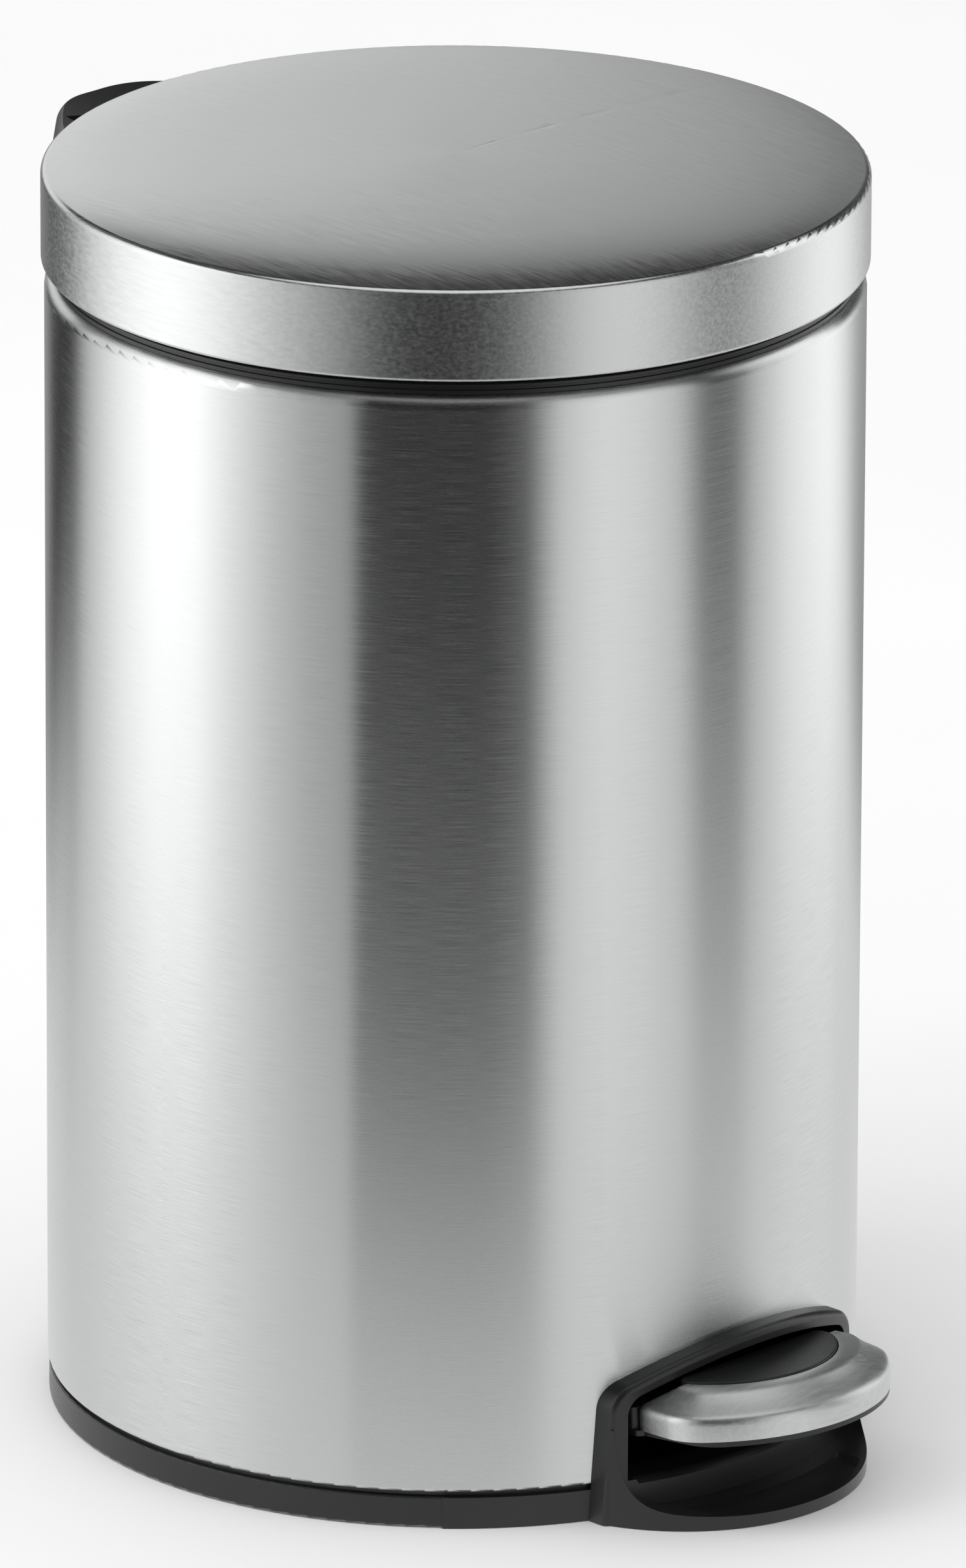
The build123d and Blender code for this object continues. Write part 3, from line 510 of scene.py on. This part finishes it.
def make_floor():
    """Pale paper floor; mirror reflections see the table card in its place."""
    floor = flat_plane("floor", FLOOR_SIZE, FLOOR_GAP)
    material, tree, shader = new_material("floor_paper")
    cloud = noise(tree, object_point(tree), 3.0)
    link(tree, ramp(tree, cloud, [(0.3, 0.88), (0.7, 0.90)]), shader.inputs["Base Color"])
    shader.inputs["Roughness"].default_value = 0.8
    shader.inputs["Specular IOR Level"].default_value = 0.1
    floor.data.materials.append(material)
    floor.visible_glossy = False


def make_table_card():
    """White table top that only the reflections see; it fades out close to the can."""
    card = flat_plane("table_card", CARD_SIZE, CARD_GAP)
    material = bpy.data.materials.new("table_card")
    material.use_nodes = True
    tree = material.node_tree
    tree.nodes.clear()
    point = object_point(tree)
    ahead = dot(tree, point, TO_CAMERA)
    right = dot(tree, point, TO_RIGHT)
    mask = smooth_step(tree, ahead, *CARD_FRONT)
    for value, fade in ((ahead, CARD_BACK), (right, CARD_RIGHT), (right, CARD_LEFT)):
        mask = math_node(tree, "MULTIPLY", mask, smooth_step(tree, value, *fade))
    glow = tree.nodes.new("ShaderNodeEmission")
    glow.inputs["Strength"].default_value = CARD_WHITE
    clear = tree.nodes.new("ShaderNodeBsdfTransparent")
    mix = tree.nodes.new("ShaderNodeMixShader")
    out = tree.nodes.new("ShaderNodeOutputMaterial")
    link(tree, mask, mix.inputs[0])
    link(tree, clear.outputs[0], mix.inputs[1])
    link(tree, glow.outputs[0], mix.inputs[2])
    link(tree, mix.outputs[0], out.inputs[0])
    card.data.materials.append(material)
    card.visible_camera = False
    card.visible_diffuse = False
    card.visible_shadow = False
    card.visible_transmission = False


def soft_box(name, azimuth, elevation, distance, width, height, power):
    """Area light aimed at the can; azimuth 0 stands in front of the pedal."""
    data = bpy.data.lights.new(name, "AREA")
    data.shape = "RECTANGLE"
    data.size = width
    data.size_y = height
    data.energy = power
    lamp = bpy.data.objects.new(name, data)
    bpy.context.scene.collection.objects.link(lamp)
    a, e = radians(azimuth), radians(elevation)
    back = Vector((sin(a) * cos(e), -cos(a) * cos(e), sin(e)))
    lamp.location = LIGHT_AIM + back * distance
    lamp.rotation_euler = back.to_track_quat("Z", "Y").to_euler()
    lamp.visible_camera = False
    lamp.visible_glossy = False


make_camera()
make_world()
make_floor()
make_table_card()
soft_box("key", VIEW_AZIMUTH + KEY_SIDE, elevation=50, distance=2.5, width=1.6, height=1.6,
         power=18.0)
materials = make_materials()
dress_nodes(materials)
make_pedal_cover(materials["satin_steel"])
bpy.context.scene.view_settings.view_transform = "Standard"
